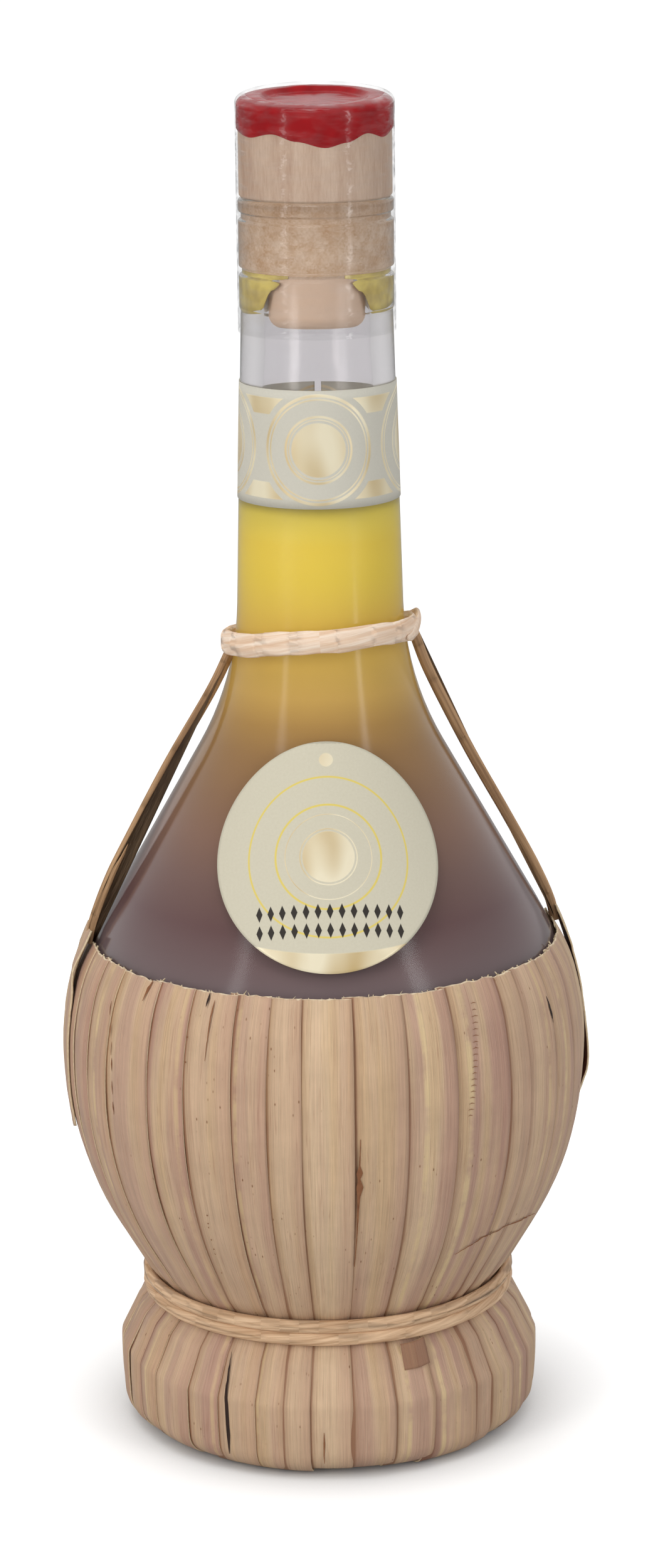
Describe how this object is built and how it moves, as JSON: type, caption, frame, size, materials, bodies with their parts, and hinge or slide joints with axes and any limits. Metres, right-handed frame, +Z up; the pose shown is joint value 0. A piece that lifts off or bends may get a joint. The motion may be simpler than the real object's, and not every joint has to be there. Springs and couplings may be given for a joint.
{
  "type": "straw-covered oil flask",
  "caption": "Round-bottomed glass flask of olive oil in a basket of overlapping dried leaf strips, with reed straps and a wax-sealed, wood-headed cork stopper.",
  "frame": {"origin": "on the table, under the middle of the flask's foot", "axes": "+Z up along the neck; -Y is the front, where the round label sits; +X is the right of the front"},
  "size_m": [0.0965, 0.0963, 0.2453],
  "materials": {
    "bottle_glass": "gloss",
    "olive_oil": "gloss",
    "cork": "matte",
    "turned_wood": "satin",
    "sealing_wax": "satin",
    "clear_film": "gloss",
    "label_paper": "matte",
    "dried_leaf": "matte",
    "twisted_straw": "matte",
    "reed": "satin",
    "straw_bundle": "matte"
  },
  "bodies": {
    "bottle": {"base_ring": "straw_bundle", "glass_bottle": "bottle_glass", "leaf_tab": "dried_leaf", "neck_label": "label_paper", "neck_tie": "twisted_straw", "olive_oil": "olive_oil", "round_label": "label_paper", "side_leaf_left": "dried_leaf", "side_leaf_right": "dried_leaf", "strap_left": "reed", "strap_right": "reed", "strip_01": "dried_leaf", "strip_02": "dried_leaf", "strip_03": "dried_leaf", "strip_04": "dried_leaf", "strip_05": "dried_leaf", "strip_06": "dried_leaf", "strip_07": "dried_leaf", "strip_08": "dried_leaf", "strip_09": "dried_leaf", "strip_10": "dried_leaf", "strip_11": "dried_leaf", "strip_12": "dried_leaf", "strip_13": "dried_leaf", "strip_14": "dried_leaf", "strip_15": "dried_leaf", "strip_16": "dried_leaf", "strip_17": "dried_leaf", "strip_18": "dried_leaf", "strip_19": "dried_leaf", "strip_20": "dried_leaf", "strip_21": "dried_leaf", "strip_22": "dried_leaf", "strip_23": "dried_leaf", "strip_24": "dried_leaf", "strip_25": "dried_leaf", "strip_26": "dried_leaf", "strip_27": "dried_leaf", "strip_28": "dried_leaf", "strip_29": "dried_leaf", "strip_30": "dried_leaf", "strip_31": "dried_leaf", "strip_32": "dried_leaf", "strip_33": "dried_leaf", "waist_tie": "twisted_straw"},
    "stopper": {"cork_shank": "cork", "wooden_head": "turned_wood", "wax_seal": "sealing_wax"},
    "sleeve": {"shrink_sleeve": "clear_film"}
  },
  "joints": [
    {"name": "stopper_pull", "type": "slide", "parent": "bottle", "child": "stopper", "axis": [0, 0, 1], "range_m": [0, 0.03]},
    {"name": "sleeve_lift", "type": "slide", "parent": "stopper", "child": "sleeve", "axis": [0, 0, 1], "range_m": [0, 0.05]}
  ]
}
